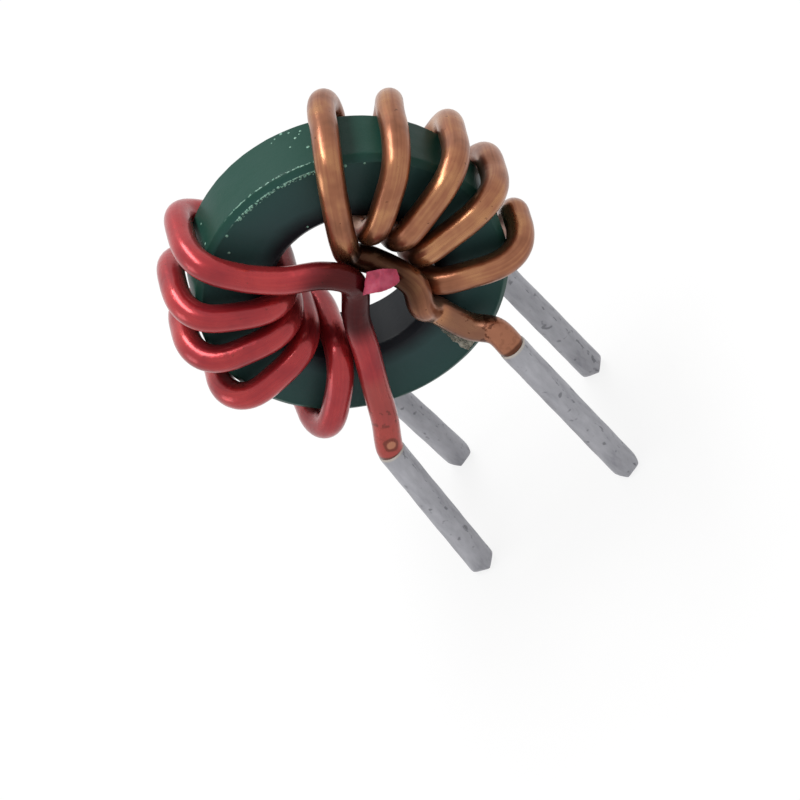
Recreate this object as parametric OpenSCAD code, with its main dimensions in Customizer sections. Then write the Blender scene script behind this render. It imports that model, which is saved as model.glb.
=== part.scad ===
// Toroidal inductor: a coated ring core with two hand-formed windings of
// thick enamelled wire, each ending in two tinned leads.
//
// The part stands on its four lead tips at Z = 0, with the core's centre
// straight above the origin. Y is the core's own axis, with the front face
// towards -Y. Angles round the core run from +X towards +Z.

/* [Core] */
// Outside diameter of the coated core
core_od = 18; // [17:0.1:20]
// Diameter of the hole through the core
core_id = 9.5; // [9:0.1:10]
// Height of the core along its axis
core_h = 4.4; // [3.8:0.1:5.2]
// Radius of the core's four rounded edges
core_edge = 0.5; // [0.3:0.05:0.8]

/* [Wire] */
// Diameter over the enamel
wire_d = 1.6; // [1.3:0.05:1.6]
// Thickness of the enamel where it is stripped
enamel = 0.05; // [0.03:0.01:0.1]
// Room between the wire and the core at the tight bends
seat_gap = 0.04; // [0.02:0.01:0.2]
// How far the wire bows off each flat face
bow = 0.5; // [0.4:0.05:0.8]
// How square the turns are: 2 is an ellipse, more is boxier
squareness = 3.1; // [3:0.1:3.6]

/* [Copper winding] */
// Where each turn crosses the middle of the front face, in degrees
copper_front = [65, 41, 21, 2, -26]; // from 70 down to -30
// Where each turn crosses the outer wall
copper_outer = [62, 39.5, 17, -2, -22]; // from 70 down to -30
// Where each later turn comes through the hole
copper_inner = [46, 20, -5.5, -31]; // 22 degrees apart or more

/* [Red winding] */
// Where each turn crosses the middle of the front face, in degrees
red_front = [123, 145, 166, 189, 224]; // from 120 up to 230
// Where each turn crosses the outer wall
red_outer = [125, 144, 163, 185, 220.5]; // from 120 up to 230
// Where each later turn comes through the hole
red_inner = [138, 163.5, 189, 215.5]; // 22 degrees apart or more

/* [Leads] */
// Distance between the two windings' leads, at half their length
lead_pitch_x = 10; // [9:0.1:11]
// Distance between front and back leads
lead_pitch_y = 9.5; // [9:0.1:10.5]
// How far the lead tips lie below the core's centre
lead_reach = 20.3; // [16:0.1:24]
// Height of the copper winding's enamel ends below the core's centre
copper_strip = 7.8; // [7.5:0.1:9]
// Height of the red winding's enamel ends below the core's centre
red_strip = 9.1; // [8.8:0.1:10]
// Outward lean of the red front lead, in degrees
red_front_splay = 5; // [0:0.5:6]
// Outward lean of the red back lead, in degrees
red_back_splay = -2; // [-3:0.5:3]
// Outward lean of the copper front lead, in degrees
copper_front_splay = 0; // [-3:0.5:3]
// Outward lean of the copper back lead, in degrees
copper_back_splay = 1; // [-3:0.5:3]
// Thickness of the solder coat on the stripped wire
coat = 0.08; // [0.06:0.01:0.15]
// Room between the bare wire and its coat
coat_fit = 0.01; // [0.01:0.01:0.03]
// Length of the bevel at each tip
tip_bevel = 0.45; // [0.3:0.05:0.7]

/* [Fixing] */
// Thickness of the dab of adhesive that ties the windings in the hole
dab_d = 1.25; // [1:0.05:1.3]

/* [Hidden] */
$fn = 96;

core_r = core_od / 2;
hole_r = core_id / 2;
wire_r = wire_d / 2;
bare_r = wire_r - enamel;
mid_r = (core_r + hole_r) / 2;
// distance of a wire's centre from a flat face it touches
seat_y = core_h / 2 + wire_r + seat_gap;

// half sizes of one turn's loop, inwards, outwards and along the axis
loop_in = mid_r - hole_r + wire_r + 0.2;
loop_out = core_r - mid_r + wire_r + 0.2;
loop_y = seat_y + bow;

wire_sides = 14;
turn_step = 10;
span_steps = 5;

function unit(v) = v / norm(v);
function power(x, e) = sign(x) * pow(abs(x), e);
function polar(r, angle, y) = [r * cos(angle), y, r * sin(angle)];

// Places along the leads. Inside the hole, across and up are shares of the
// hole's radius. On the face, out is 0 at the hole and 1 at the rim. Lift is
// how far the wire's centre stands off its seat on the face, in wire
// diameters.
function in_hole(across, up, lift) =
    [across * hole_r, -seat_y - lift * wire_d, up * hole_r];
function on_face(out, angle, lift) =
    polar(hole_r + out * (core_r - hole_r), angle, -seat_y - lift * wire_d);
// Behind the rim: out in wire diameters past the core, depth in seat heights
function past_rim(out, angle, depth) =
    polar(core_r + out * wire_d, angle, depth * seat_y);

// A smooth curve from b to c, with a and d as its neighbours, at share u
function blend(p, q, t0, t1, t) = (p * (t1 - t) + q * (t - t0)) / (t1 - t0);
function between(a, b, c, d, u) =
    let (t1 = sqrt(norm(b - a)),
         t2 = t1 + sqrt(norm(c - b)),
         t3 = t2 + sqrt(norm(d - c)),
         t = t1 + (t2 - t1) * u,
         ab = blend(a, b, 0, t1, t),
         bc = blend(b, c, t1, t2, t),
         cd = blend(c, d, t2, t3, t),
         ac = blend(ab, bc, 0, t2, t),
         bd = blend(bc, cd, t1, t3, t))
    blend(ac, bd, t1, t2, t);

// The curve through all of p but its first and last place
function through(p) =
    [for (i = [1 : len(p) - 3])
        for (k = [0 : span_steps - (i == len(p) - 3 ? 0 : 1)])
            between(p[i - 1], p[i], p[i + 1], p[i + 2], k / span_steps)];

// A smooth value through list q at place x, counted in steps of the list
function along(q, x) =
    let (n = len(q) - 1,
         i = min(floor(x), n - 1),
         u = x - i,
         b = q[i],
         c = q[i + 1],
         a = i > 0 ? q[i - 1] : 2 * b - c,
         d = i + 2 <= n ? q[i + 2] : 2 * c - b)
    (2 * b + (c - a) * u
     + (2 * a - 5 * b + 4 * c - d) * u * u
     + (3 * b - a - 3 * c + d) * u * u * u) / 2;

// One place on a turn: phase 0 is the front face, 90 the outer wall, 180 the
// back face and 270 the hole
function on_turn(quarters, phase) =
    let (a = phase - 90,
         e = 2 / squareness,
         reach = cos(a) > 0 ? loop_out : loop_in)
    polar(mid_r + reach * power(cos(a), e), along(quarters, phase / 90),
          loop_y * power(sin(a), e));

// The angles a winding passes at each quarter of each turn
function quarters(front, outer, inner) =
    [for (i = [0 : len(front) - 1])
        for (k = [0 : i == len(front) - 1 ? 1 : 3])
            k == 0 ? front[i]
            : k == 1 ? outer[i]
            : k == 2 ? outer[i] + 0.4 * (inner[i] - outer[i])
            : inner[i]];

// Leads: side is -1 for red and 1 for copper, face is -1 front and 1 back
function lead_axis(side, splay) = [side * sin(splay), 0, -cos(splay)];
function lead_at(side, face, splay, z) =
    let (half = (lead_reach + z) / 2)
    [side * (lead_pitch_x / 2), face * lead_pitch_y / 2, z - half]
    - lead_axis(side, splay) * half / cos(splay);

// Radius over the solder coat, and of the flat end inside its bevel
coat_r = bare_r + coat_fit + coat;
tip_r = coat_r * 0.62;

// Length of one coat, whose lowest edge just reaches the board side level
function coat_length(strip, splay) =
    (lead_reach - strip - tip_r * abs(sin(splay))) / cos(splay);

// A whole winding's centre line, from its front lead to its back lead
function route(side, strip, front_splay, back_splay, q, lead, back) =
    let (start = lead_at(side, -1, front_splay, -strip),
         finish = lead_at(side, 1, back_splay, -strip),
         last = 90 * (len(q) - 1))
    concat(
        through(concat(
            [start + lead_axis(side, front_splay), start],
            lead,
            [on_turn(q, 0), on_turn(q, turn_step)])),
        [for (phase = [turn_step : turn_step : last - turn_step])
            on_turn(q, phase)],
        through(concat(
            [on_turn(q, last - turn_step), on_turn(q, last)],
            back,
            [finish, finish + lead_axis(side, back_splay)])));

copper_route = route(1, copper_strip, copper_front_splay, copper_back_splay,
    quarters(copper_front, copper_outer, copper_inner),
    [on_face(0.83, 305, 0.65),
     on_face(0.52, 301.5, 0.23),
     on_face(-0.01, 306, 0.02),
     in_hole(0.56, -0.49, 0.64),
     in_hole(0.67, -0.14, 0.62),
     in_hole(0.42, 0.26, -0.22),
     in_hole(0.28, 0.5, -0.23),
     in_hole(0.35, 0.76, 0.08)],
    [past_rim(0.55, 329, 0.65),
     past_rim(0.43, 320, 1.03),
     past_rim(-0.12, 309, 1.44)]);

red_route = route(-1, red_strip, red_front_splay, red_back_splay,
    quarters(red_front, red_outer, red_inner),
    [on_face(0.79, 244, 0.86),
     on_face(0.24, 243, 0.54),
     in_hole(-0.34, -0.62, 0.36),
     in_hole(-0.15, -0.16, 0.36),
     in_hole(0.11, 0.26, 0.54),
     in_hole(0.13, 0.5, 0.77),
     in_hole(-0.06, 0.71, 0.68),
     in_hole(-0.46, 0.92, 0.48)],
    [past_rim(0.53, 218, 0.93),
     past_rim(0.2, 221, 1.45),
     past_rim(0.32, 230, 1.62)]);

// Directions along a route, true to the leads at both ends
function headings(p, first, last) =
    [for (i = [0 : len(p) - 1])
        i == 0 ? first
        : i == len(p) - 1 ? last
        : unit(unit(p[i + 1] - p[i]) + unit(p[i] - p[i - 1]))];

// One sideways direction per place, carried along without twisting
function sideways(t) =
    [for (i = 0, s = [0, 1, 0];
          i < len(t);
          i = i + 1,
          s = i < len(t) ? unit(s - (s * t[i]) * t[i]) : s) s];

function ring(c, t, s, r) =
    let (w = cross(t, s))
    [for (k = [0 : wire_sides - 1])
        c + r * (s * cos(360 * k / wire_sides)
                 + w * sin(360 * k / wire_sides))];

// A wire along p with both ends stripped bare for the length given
module wire(p, first, last, bare) {
    t = headings(p, first, last);
    s = sideways(t);
    n = len(p) - 1;
    rings = concat(
        [ring(p[0] - first * bare, first, s[0], bare_r),
         ring(p[0], first, s[0], bare_r)],
        [for (i = [0 : n]) ring(p[i], t[i], s[i], wire_r)],
        [ring(p[n], last, s[n], bare_r),
         ring(p[n] + last * bare, last, s[n], bare_r)]);
    m = len(rings) - 1;
    points = [for (r = rings) for (q = r) q];
    skin = [for (i = [0 : m - 1])
        for (k = [0 : wire_sides - 1])
            let (j = (k + 1) % wire_sides,
                 a = i * wire_sides,
                 b = a + wire_sides)
            [a + k, b + k, b + j, a + j]];
    near_cap = [for (k = [0 : wire_sides - 1]) k];
    far_cap = [for (k = [wire_sides - 1 : -1 : 0]) m * wire_sides + k];
    polyhedron(points, concat(skin, [near_cap, far_cap]), convexity = 12);
}

// Lifts everything so that the lead tips stand at zero
module stand() {
    translate([0, 0, lead_reach])
        children();
}

// A closed solder sleeve on one stripped end
module tinning(side, face, strip, splay) {
    long = coat_length(strip, splay);
    translate(lead_at(side, face, splay, -strip))
        rotate([0, 180 - side * splay, 0])
            difference() {
                union() {
                    cylinder(r = coat_r, h = long - tip_bevel);
                    translate([0, 0, long - tip_bevel])
                        cylinder(r1 = coat_r, r2 = tip_r, h = tip_bevel);
                }
                translate([0, 0, -0.01])
                    cylinder(r = bare_r + coat_fit,
                             h = long - 2 * tip_bevel + 0.03);
            }
}

module core() {
    color("#2F4F46")
        stand()
            rotate([90, 0, 0])
                rotate_extrude() {
                    translate([hole_r, -core_h / 2 + core_edge])
                        square([core_r - hole_r, core_h - 2 * core_edge]);
                    translate([hole_r + core_edge, -core_h / 2])
                        square([core_r - hole_r - 2 * core_edge, core_h]);
                    for (x = [hole_r + core_edge, core_r - core_edge])
                        for (y = [-1, 1])
                            translate([x, y * (core_h / 2 - core_edge)])
                                circle(r = core_edge, $fn = 48);
                }
}

module red_winding() {
    color("#B3393F")
        stand()
        wire(red_route,
             -lead_axis(-1, red_front_splay),
             lead_axis(-1, red_back_splay),
             coat_length(red_strip, red_front_splay) - 2 * tip_bevel);
}

module copper_winding() {
    color("#B5794F")
        stand()
        wire(copper_route,
             -lead_axis(1, copper_front_splay),
             lead_axis(1, copper_back_splay),
             coat_length(copper_strip, copper_back_splay)
             - 2 * tip_bevel);
}

module red_front_tinning() {
    color("#A8A8AE") stand() tinning(-1, -1, red_strip, red_front_splay);
}

module red_back_tinning() {
    color("#A8A8AE") stand() tinning(-1, 1, red_strip, red_back_splay);
}

module copper_front_tinning() {
    color("#A8A8AE") stand() tinning(1, -1, copper_strip, copper_front_splay);
}

module copper_back_tinning() {
    color("#A8A8AE") stand() tinning(1, 1, copper_strip, copper_back_splay);
}

// A rounded lump from beside the red lead to beside the copper one
module fixing_dab() {
    color("#B5505F")
        stand()
        hull() {
            translate(in_hole(0.4, 0.25, 1.03))
                sphere(d = dab_d, $fn = 32);
            translate(in_hole(0.52, 0.2, 1.03))
                sphere(d = dab_d, $fn = 32);
        }
}

core();
red_winding();
copper_winding();
red_front_tinning();
red_back_tinning();
copper_front_tinning();
copper_back_tinning();
fixing_dab();
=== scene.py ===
"""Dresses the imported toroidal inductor: ring core, two formed windings, tinned leads.

Sizes are in millimetres and angles in degrees, as in the part's source. A mesh
is turned into metres once, when it is made. The wires' centre lines repeat the
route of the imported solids, so every dressed piece lies where its solid lies.

A node tree is a table with one row for each node: its name here, its kind, its
inputs and its settings. add_node() tells how a row is read.
"""

import logging
import math
from dataclasses import dataclass
from enum import Enum
from typing import Sequence

import bmesh
import bpy
import numpy as np
from mathutils import Euler, Matrix, Vector, noise


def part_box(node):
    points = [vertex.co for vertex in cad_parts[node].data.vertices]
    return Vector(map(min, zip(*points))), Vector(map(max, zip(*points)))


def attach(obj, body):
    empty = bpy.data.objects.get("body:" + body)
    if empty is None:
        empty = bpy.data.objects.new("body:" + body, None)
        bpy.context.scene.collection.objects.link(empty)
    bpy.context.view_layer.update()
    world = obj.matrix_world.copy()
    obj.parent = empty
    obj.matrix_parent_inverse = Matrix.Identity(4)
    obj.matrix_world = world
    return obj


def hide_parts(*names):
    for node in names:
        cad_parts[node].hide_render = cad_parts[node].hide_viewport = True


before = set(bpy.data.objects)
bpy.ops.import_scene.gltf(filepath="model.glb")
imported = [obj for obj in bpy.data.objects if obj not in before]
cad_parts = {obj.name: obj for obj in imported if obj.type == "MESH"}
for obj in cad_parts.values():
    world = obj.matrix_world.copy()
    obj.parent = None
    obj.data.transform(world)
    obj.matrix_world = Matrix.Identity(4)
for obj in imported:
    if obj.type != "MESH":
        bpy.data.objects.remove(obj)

MM = 0.001
ROOT = "root"
LOG = logging.getLogger("inductor")

Vec = np.ndarray
Triple = tuple[float, float, float]
Rows = list[tuple]

# The kinds of node that many rows use. A tuple of inputs gives a noise its
# place, scale, detail and roughness, a range its value, two ends and two new
# ends, and a mix its share and two colours.
NOISE = "ShaderNodeTexNoise"
MATH = "ShaderNodeMath"
VECTOR = "ShaderNodeVectorMath"
RANGE = "ShaderNodeMapRange"
MIX = "ShaderNodeMix"
RAMP = "ShaderNodeValToRGB"
NOTE = "ShaderNodeAttribute"
SPLIT = "ShaderNodeSeparateXYZ"
BUMP = "ShaderNodeBump"
SKIN = "ShaderNodeBsdfPrincipled"
READ = "GeometryNodeInputNamedAttribute"
STORE = "GeometryNodeStoreNamedAttribute"

# The settings that many rows use.
SMOOTH = {"interpolation_type": "SMOOTHSTEP"}
COLOURS = {"data_type": "RGBA"}
NUMBER = {"data_type": "FLOAT"}
VECTORS = {"data_type": "FLOAT_VECTOR"}
TIMES = {"operation": "MULTIPLY"}
TIMES_PLUS = {"operation": "MULTIPLY_ADD"}
LARGER = {"operation": "MAXIMUM"}
SCALED = {"operation": "SCALE"}
APART = {"operation": "DISTANCE"}


# ---------------------------------------------------------------- small maths


def unit(v: Vec) -> Vec:
    """Returns v at length one."""
    return v / np.linalg.norm(v)


def power(x: float, exponent: float) -> float:
    """Returns |x| to the exponent, with the sign of x."""
    return math.copysign(abs(x) ** exponent, x)


def polar(radius: float, degrees: float, depth: float) -> Vec:
    """Returns a place round the core's axis, angles running from +X to +Z."""
    turn = math.radians(degrees)
    return np.array([radius * math.cos(turn), depth, radius * math.sin(turn)])


def smooth_step(x: Vec, low: float, high: float) -> Vec:
    """Returns 0 below low, 1 above high and a smooth rise between."""
    t = np.clip((x - low) / (high - low), 0.0, 1.0)
    return t * t * (3.0 - 2.0 * t)


def rumple(place: Sequence[float], size: float, shift: Triple = (0.0, 0.0, 0.0)) -> float:
    """Returns smooth noise at a place, its waves about a size long."""
    return noise.noise(Vector(place) / size + Vector(shift))


def run_of(line: Vec) -> Vec:
    """Returns how far along a line each of its points lies."""
    return np.concatenate([[0.0], np.cumsum(np.linalg.norm(np.diff(line, axis=0), axis=1))])


def between(a: Vec, b: Vec, c: Vec, d: Vec, shares: Sequence[float]) -> list[Vec]:
    """Returns places on the centripetal curve from b to c.

    Args:
        a: The place before b.
        b: Where the span starts.
        c: Where the span ends.
        d: The place after c.
        shares: How far along the span each wanted place is, from 0 to 1.

    Returns:
        One place for each share.
    """
    t1 = math.sqrt(np.linalg.norm(b - a))
    t2 = t1 + math.sqrt(np.linalg.norm(c - b))
    t3 = t2 + math.sqrt(np.linalg.norm(d - c))

    def blend(p: Vec, q: Vec, low: float, high: float, t: float) -> Vec:
        """Returns the straight blend of p and q at t."""
        return (p * (high - t) + q * (t - low)) / (high - low)

    places = []
    for t in (t1 + (t2 - t1) * share for share in shares):
        ab, bc, cd = blend(a, b, 0.0, t1, t), blend(b, c, t1, t2, t), blend(c, d, t2, t3, t)
        places.append(blend(blend(ab, bc, 0.0, t2, t), blend(bc, cd, t1, t3, t), t1, t2, t))
    return places


def through(points: Sequence[Vec], steps: int) -> list[Vec]:
    """Returns the smooth curve through all points but the first and last.

    Args:
        points: The places to pass; the first and last only set its direction.
        steps: How many places each span gets.

    Returns:
        The curve's places in order.
    """
    shares = np.arange(steps) / steps
    spans = (between(*points[i - 1 : i + 3], shares) for i in range(1, len(points) - 2))
    return [place for span in spans for place in span] + [points[-2]]


def along(values: Sequence[float], x: float) -> float:
    """Returns a smooth value through a list.

    Args:
        values: The values at the whole places.
        x: The wanted place, counted in the list's steps.

    Returns:
        The value of the curve through its four nearest neighbours.
    """
    last = len(values) - 1
    i = min(math.floor(x), last - 1)
    u = x - i
    b, c = values[i], values[i + 1]
    a = values[i - 1] if i > 0 else 2 * b - c
    d = values[i + 2] if i + 2 <= last else 2 * c - b
    rise = (c - a) * u + (2 * a - 5 * b + 4 * c - d) * u**2 + (3 * b - a - 3 * c + d) * u**3
    return (2 * b + rise) / 2


def evenly(points: Sequence[Vec], spacing: float) -> Vec:
    """Returns the same polyline with its points an even distance apart.

    Args:
        points: The polyline, where a place may stand twice.
        spacing: About how far apart the new points are.

    Returns:
        The new points.
    """
    line = np.array(points)
    apart = np.linalg.norm(np.diff(line, axis=0), axis=1) > 1e-6
    line = line[np.concatenate([[True], apart])]
    run = run_of(line)
    places = np.linspace(0.0, run[-1], int(round(run[-1] / spacing)) + 1)
    return np.stack([np.interp(places, run, line[:, k]) for k in range(3)], axis=1)


# ---------------------------------------------------------------- mesh helpers


def link(made: bpy.types.Object) -> bpy.types.Object:
    """Puts an object in the scene and returns it."""
    bpy.context.scene.collection.objects.link(made)
    return made


def place_mesh(
    name: str,
    points: Vec,
    faces: Sequence[Sequence[int]],
    finish: bpy.types.Material,
    smooth: bool = True,
) -> bpy.types.Object:
    """Makes an object at the origin whose faces look outwards.

    Args:
        name: The object's name.
        points: Vertex places in millimetres, in the part's frame.
        faces: Vertex numbers of each face, all turning the same way.
        finish: The material of every face.
        smooth: Whether the faces are shaded smooth.

    Returns:
        The linked object.
    """
    mesh = bpy.data.meshes.new(name)
    mesh.from_pydata((np.asarray(points) * MM).tolist(), [], [list(f) for f in faces])
    mesh.validate()
    mesh.polygons.foreach_set("use_smooth", [smooth] * len(mesh.polygons))
    mesh.materials.append(finish)
    mesh.update()
    shell = bmesh.new()
    shell.from_mesh(mesh)
    if shell.calc_volume(signed=True) < 0:
        mesh.flip_normals()
    shell.free()
    return link(bpy.data.objects.new(name, mesh))


def store(mesh: bpy.types.Mesh, name: str, values: Vec) -> None:
    """Keeps one number, or one vector, for each vertex.

    Args:
        mesh: The mesh.
        name: What the attribute is called.
        values: The numbers or vectors, in the vertices' order.
    """
    flat = np.asarray(values, dtype=np.float32)
    kind, field = ("FLOAT", "value") if flat.ndim == 1 else ("FLOAT_VECTOR", "vector")
    mesh.attributes.new(name, kind, "POINT").data.foreach_set(field, flat.ravel())


def skin(rings: int, sides: int, ring_loop: bool) -> list[list[int]]:
    """Returns quads that join neighbouring rings of points.

    Args:
        rings: How many rings there are.
        sides: How many points each ring has.
        ring_loop: Whether the last ring joins the first.

    Returns:
        The faces' vertex numbers, ring by ring.
    """
    faces = []
    for i in range(rings if ring_loop else rings - 1):
        a, b = i * sides, ((i + 1) % rings) * sides
        for k in range(sides):
            j = (k + 1) % sides
            faces.append([a + k, b + k, b + j, a + j])
    return faces


def clear_of(points: Vec, lines: Sequence[Vec], distance: float, passes: int = 3) -> Vec:
    """Pushes points away from wires until they are a distance from each line.

    Args:
        points: The points to push.
        lines: The wires' centre lines.
        distance: How near a point may be to a centre line.
        passes: How often each point is pushed off its nearest place.

    Returns:
        The points, moved only where they were too near.
    """
    moved = np.array(points)
    near = np.concatenate(lines)
    within = np.ptp(moved, axis=0).max() + distance
    near = near[np.linalg.norm(near - moved.mean(axis=0), axis=1) < within]
    rows = np.arange(len(moved))
    for _ in range(passes):
        away = moved[:, None, :] - near[None, :, :]
        reach = np.linalg.norm(away, axis=2)
        nearest = np.argmin(reach, axis=1)
        short = np.maximum(distance - reach[rows, nearest], 0.0)
        moved += away[rows, nearest] / reach[rows, nearest][:, None] * short[:, None]
    return moved


# ---------------------------------------------------------------- node helpers


def linear(colour: str) -> tuple[float, float, float, float]:
    """Turns an sRGB hex colour into the linear one that a socket takes.

    Args:
        colour: The colour, such as "#2E4D4A".

    Returns:
        Its red, green, blue and full alpha.
    """
    parts = [int(colour[i : i + 2], 16) / 255 for i in (1, 3, 5)]
    r, g, b = (c / 12.92 if c <= 0.04045 else ((c + 0.055) / 1.055) ** 2.4 for c in parts)
    return (r, g, b, 1.0)


def add_node(
    tree: bpy.types.NodeTree,
    made: dict[str, bpy.types.Node],
    name: str,
    kind: str,
    inputs: Sequence[object] | dict[str, object] = (),
    settings: dict[str, object] | None = None,
) -> None:
    """Adds one node with its settings and links.

    Args:
        tree: The tree that the node goes into.
        made: The nodes that the tree has so far, by name. This one joins them.
        name: What later rows call the node.
        kind: Blender's name for the node's type.
        inputs: What the inputs take. A tuple fills those in use in their
            order, and a dict names them. "@cloud" is the first output of the
            node called cloud, "@cloud.Color" its output Color, and "#2E4D4A" a
            colour. Anything else becomes the input's own value.
        settings: The node's properties. A ramp's stops are pairs of a position
            and a colour.
    """
    node = made[name] = tree.nodes.new(kind)
    for key, value in (settings or {}).items():
        if key != "stops":
            setattr(node, key, value)
            continue
        ramp = node.color_ramp.elements
        while len(ramp) < len(value):
            ramp.new(1.0)
        for element, (position, colour) in zip(ramp, value):
            element.position = position
            element.color = linear(colour)
    if not isinstance(inputs, dict):
        inputs = dict(zip((i for i, s in enumerate(node.inputs) if s.enabled), inputs))
    for key, value in inputs.items():
        if isinstance(value, str) and value[0] == "@":
            source, _, output = value[1:].partition(".")
            outputs = made[source].outputs
            socket = outputs[output] if output else next(s for s in outputs if s.enabled)
            tree.links.new(socket, node.inputs[key])
        else:
            is_colour = isinstance(value, str) and value[0] == "#"
            node.inputs[key].default_value = linear(value) if is_colour else value


def grow(tree: bpy.types.NodeTree, rows: Rows) -> None:
    """Empties a node tree and fills it from a table.

    Args:
        tree: The tree.
        rows: The table, where a row links only to rows above it.
    """
    tree.nodes.clear()
    made: dict[str, bpy.types.Node] = {}
    for row in rows:
        add_node(tree, made, *row)


def shape_tree(name: str, takes: dict[str, str], rows: Rows) -> bpy.types.GeometryNodeTree:
    """Makes a Geometry Nodes tree that ends in real geometry with its finish.

    Args:
        name: The tree's name.
        takes: The kind of each named input, besides the finish.
        rows: The tree's nodes. The last one gives the shape.

    Returns:
        The tree, whose input Finish takes a material.
    """
    tree = bpy.data.node_groups.new(name, "GeometryNodeTree")
    for label, kind in {**takes, "Finish": "Material"}.items():
        tree.interface.new_socket(label, in_out="INPUT", socket_type=f"NodeSocket{kind}")
    tree.interface.new_socket("Shape", in_out="OUTPUT", socket_type="NodeSocketGeometry")
    ending = [
        ("real", "GeometryNodeRealizeInstances", (f"@{rows[-1][0]}",)),
        ("finished", "GeometryNodeSetMaterial", {"Geometry": "@real", "Material": "@given.Finish"}),
        ("shape", "NodeGroupOutput", ("@finished",)),
    ]
    grow(tree, [("given", "NodeGroupInput"), *rows, *ending])
    return tree


def run_tree(
    tree: bpy.types.GeometryNodeTree,
    name: str,
    points: Vec,
    notes: dict[str, Vec],
    values: dict[str, object],
) -> bpy.types.Object:
    """Runs a node tree on a line of points and keeps its result as a plain mesh.

    Args:
        tree: The node tree.
        name: The new object's name.
        points: The line's places in millimetres, in the part's frame.
        notes: What each point keeps for the tree, by name.
        values: What each named input takes.

    Returns:
        The linked object, at the origin.
    """
    mesh = bpy.data.meshes.new(name)
    edges = [(i, i + 1) for i in range(len(points) - 1)]
    mesh.from_pydata((points * MM).tolist(), edges, [])
    for note, given in notes.items():
        store(mesh, note, given)
    carrier = link(bpy.data.objects.new(name, mesh))
    modifier = carrier.modifiers.new("make", "NODES")
    modifier.node_group = tree
    for item in tree.interface.items_tree:
        if item.in_out == "INPUT" and item.name in values:
            modifier[item.identifier] = values[item.name]
    bpy.context.view_layer.update()
    ready = carrier.evaluated_get(bpy.context.evaluated_depsgraph_get())
    result = bpy.data.meshes.new_from_object(ready)
    carrier.modifiers.remove(modifier)
    bpy.data.objects.remove(carrier)
    return link(bpy.data.objects.new(name, result))


# ---------------------------------------------------------------- the route


class Zone(Enum):
    """Where a place on a lead is measured."""

    FACE = "on the core's front face"
    HOLE = "in front of the core's hole"
    RIM = "behind the core's rim"


class Side(Enum):
    """Which winding a piece belongs to."""

    RED = -1
    COPPER = 1


class Face(Enum):
    """Whether a lead stands in front of the core or behind it."""

    FRONT = -1
    BACK = 1


@dataclass(frozen=True)
class Place:
    """One given place on a lead, measured from the core."""

    zone: Zone
    first: float
    second: float
    third: float


@dataclass(frozen=True)
class PartSizes:
    """The sizes that the pieces share."""

    core_r: float
    hole_r: float
    core_h: float
    centre_z: float
    chamfer: float = 0.36
    wire_d: float = 1.6
    enamel: float = 0.05
    seat_gap: float = 0.04
    bow: float = 0.5
    squareness: float = 3.1
    loop_room: float = 0.2
    lead_pitch_x: float = 10.0
    lead_pitch_y: float = 9.5
    coat: float = 0.09

    @classmethod
    def from_frame(cls) -> "PartSizes":
        """Reads the core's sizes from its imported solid.

        Returns:
            The sizes, with the wires' own as they are here.
        """
        low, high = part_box("core")
        middle = (low + high) / 2
        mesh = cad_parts["core"].data
        hole = min(math.hypot(v.co.x - middle.x, v.co.z - middle.z) for v in mesh.vertices)
        return cls(
            core_r=round((high.x - low.x) / 2 / MM, 3),
            hole_r=round(hole / MM, 2),
            core_h=round((high.y - low.y) / MM, 3),
            centre_z=round(middle.z / MM, 3),
        )

    @property
    def wire_r(self) -> float:
        """Radius over the enamel."""
        return self.wire_d / 2

    @property
    def bare_r(self) -> float:
        """Radius of the stripped wire."""
        return self.wire_r - self.enamel

    @property
    def coat_r(self) -> float:
        """Radius over the solder."""
        return self.bare_r + self.coat

    @property
    def mid_r(self) -> float:
        """Radius half-way between the hole and the rim."""
        return (self.core_r + self.hole_r) / 2

    @property
    def seat_y(self) -> float:
        """Distance of a seated wire's centre from the core's middle plane."""
        return self.core_h / 2 + self.wire_r + self.seat_gap

    def lift(self, points: Vec) -> Vec:
        """Moves points from the core's centre to where it stands."""
        return np.asarray(points) + np.array([0.0, 0.0, self.centre_z])


@dataclass(frozen=True)
class WindingPlan:
    """How one winding is formed: where its turns cross and its leads run."""

    side: Side
    strip: float
    front_splay: float
    back_splay: float
    front: tuple[float, ...]
    outer: tuple[float, ...]
    inner: tuple[float, ...]
    lead: tuple[Place, ...]
    back: tuple[Place, ...]
    rear_share: float = 0.4

    def quarters(self) -> list[float]:
        """Works out where each turn passes its front, rim, back and hole.

        Returns:
            The angle at each quarter of each turn. At the back a turn has gone
            rear_share of the way from its rim to its hole.
        """
        angles: list[float] = []
        for i, (front, outer) in enumerate(zip(self.front, self.outer)):
            angles += [front, outer]
            if i < len(self.inner):
                rear = outer + self.rear_share * (self.inner[i] - outer)
                angles += [rear, self.inner[i]]
        return angles


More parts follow.
